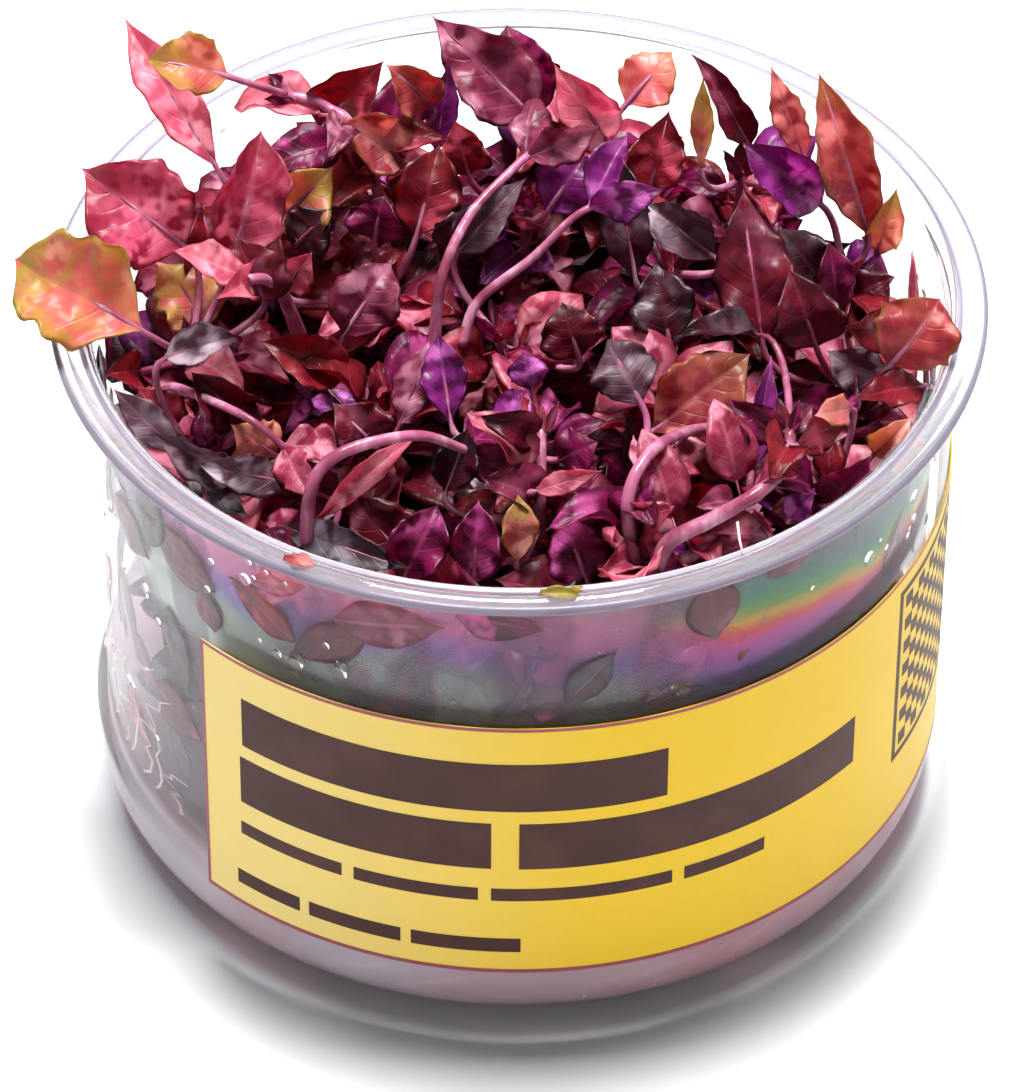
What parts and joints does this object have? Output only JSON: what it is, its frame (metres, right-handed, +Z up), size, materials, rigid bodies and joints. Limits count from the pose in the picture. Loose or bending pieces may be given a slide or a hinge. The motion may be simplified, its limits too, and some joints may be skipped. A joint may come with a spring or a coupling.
{
  "type": "alternanthera reineckii in a clear culture cup",
  "caption": "Open clear plastic cup with a flat round rim, a plain yellow label and set gel, full of young red, pink and violet leafy stems that stand just above the rim.",
  "frame": {"origin": "centre of the cup's flat underside, on the surface that it stands on", "axes": "+Z up along the cup's axis; the viewer of the picture stands on the -Y side, with +X to the right"},
  "size_m": [0.1045, 0.1, 0.0862],
  "materials": {
    "cup": "clear, polished, with faint rainbow stress bands under the rim",
    "gel": "clear set gel, lilac-grey, with fine pale root streaks",
    "label": "smooth satin yellow film, plain apart from brown bars",
    "stem": "smooth, satin, pink, fleshy",
    "leaf_black": "thin, glossy, almost black burgundy",
    "leaf_burgundy": "thin, satin, burgundy",
    "leaf_crimson": "thin, satin, dark crimson",
    "leaf_magenta": "thin, satin, deep magenta",
    "leaf_mauve": "thin, satin, mauve brown with pale veins",
    "leaf_olive": "thin, satin, olive yellow with salmon edges",
    "leaf_peach": "thin, satin, peach with an olive heart",
    "leaf_pink": "thin, satin, pale pink with pinker veins",
    "leaf_rose": "thin, satin, rose red",
    "leaf_salmon": "thin, satin, salmon to brown red",
    "leaf_silver": "thin, satin, silver mauve underside",
    "leaf_slate": "thin, satin, slate grey underside",
    "leaf_violet": "thin, satin, bright violet"
  },
  "bodies": {
    "root": {"cup": "cup", "gel": "gel", "label": "label", "leaf_brown_front_right": "leaf_salmon", "leaf_burgundy_right": "leaf_burgundy", "leaf_crimson_back_left": "leaf_crimson", "leaf_crimson_left": "leaf_crimson", "leaf_crimson_rim_right": "leaf_crimson", "leaf_dark_upright": "leaf_black", "leaf_far_left": "leaf_olive", "leaf_flap_back_right": "leaf_salmon", "leaf_folded_back": "leaf_pink", "leaf_forked_top_left": "leaf_pink", "leaf_magenta_back": "leaf_magenta", "leaf_mauve_back": "leaf_mauve", "leaf_mauve_left": "leaf_rose", "leaf_olive_left": "leaf_olive", "leaf_olive_right": "leaf_olive", "leaf_olive_top_left": "leaf_olive", "leaf_orange_back": "leaf_salmon", "leaf_peach_back": "leaf_peach", "leaf_peach_front_left": "leaf_peach", "leaf_pink_arch_front": "leaf_pink", "leaf_red_back": "leaf_crimson", "leaf_rose_left": "leaf_rose", "leaf_salmon_back_right": "leaf_salmon", "leaf_salmon_right": "leaf_salmon", "leaf_silver_arch": "leaf_silver", "leaf_silver_centre": "leaf_silver", "leaf_silver_right": "leaf_silver", "leaf_silver_rim_left": "leaf_silver", "leaf_slate_front": "leaf_slate", "leaf_slender_back_right": "leaf_burgundy", "leaf_upright_back_right": "leaf_olive", "leaf_violet_back": "leaf_violet", "leaf_violet_centre": "leaf_violet", "leaf_violet_front_right": "leaf_violet", "leaf_violet_right": "leaf_violet", "plantlet_arching_back_left": "stem", "plantlet_arching_front_right": "stem", "plantlet_centre": "stem", "plantlet_hooked_front": "stem", "plantlet_inner_back": "stem", "plantlet_inner_back_left": "stem", "plantlet_inner_back_right": "stem", "plantlet_inner_front": "stem", "plantlet_inner_front_left": "stem", "plantlet_inner_front_right": "stem", "plantlet_outer_back": "stem", "plantlet_outer_back_left": "stem", "plantlet_outer_back_right": "stem", "plantlet_outer_front": "stem", "plantlet_outer_front_left": "stem", "plantlet_outer_left": "stem", "plantlet_outer_left_low": "stem", "plantlet_outer_right": "stem", "plantlet_outer_right_high": "stem", "plantlet_outer_right_low": "stem"}
  },
  "joints": []
}
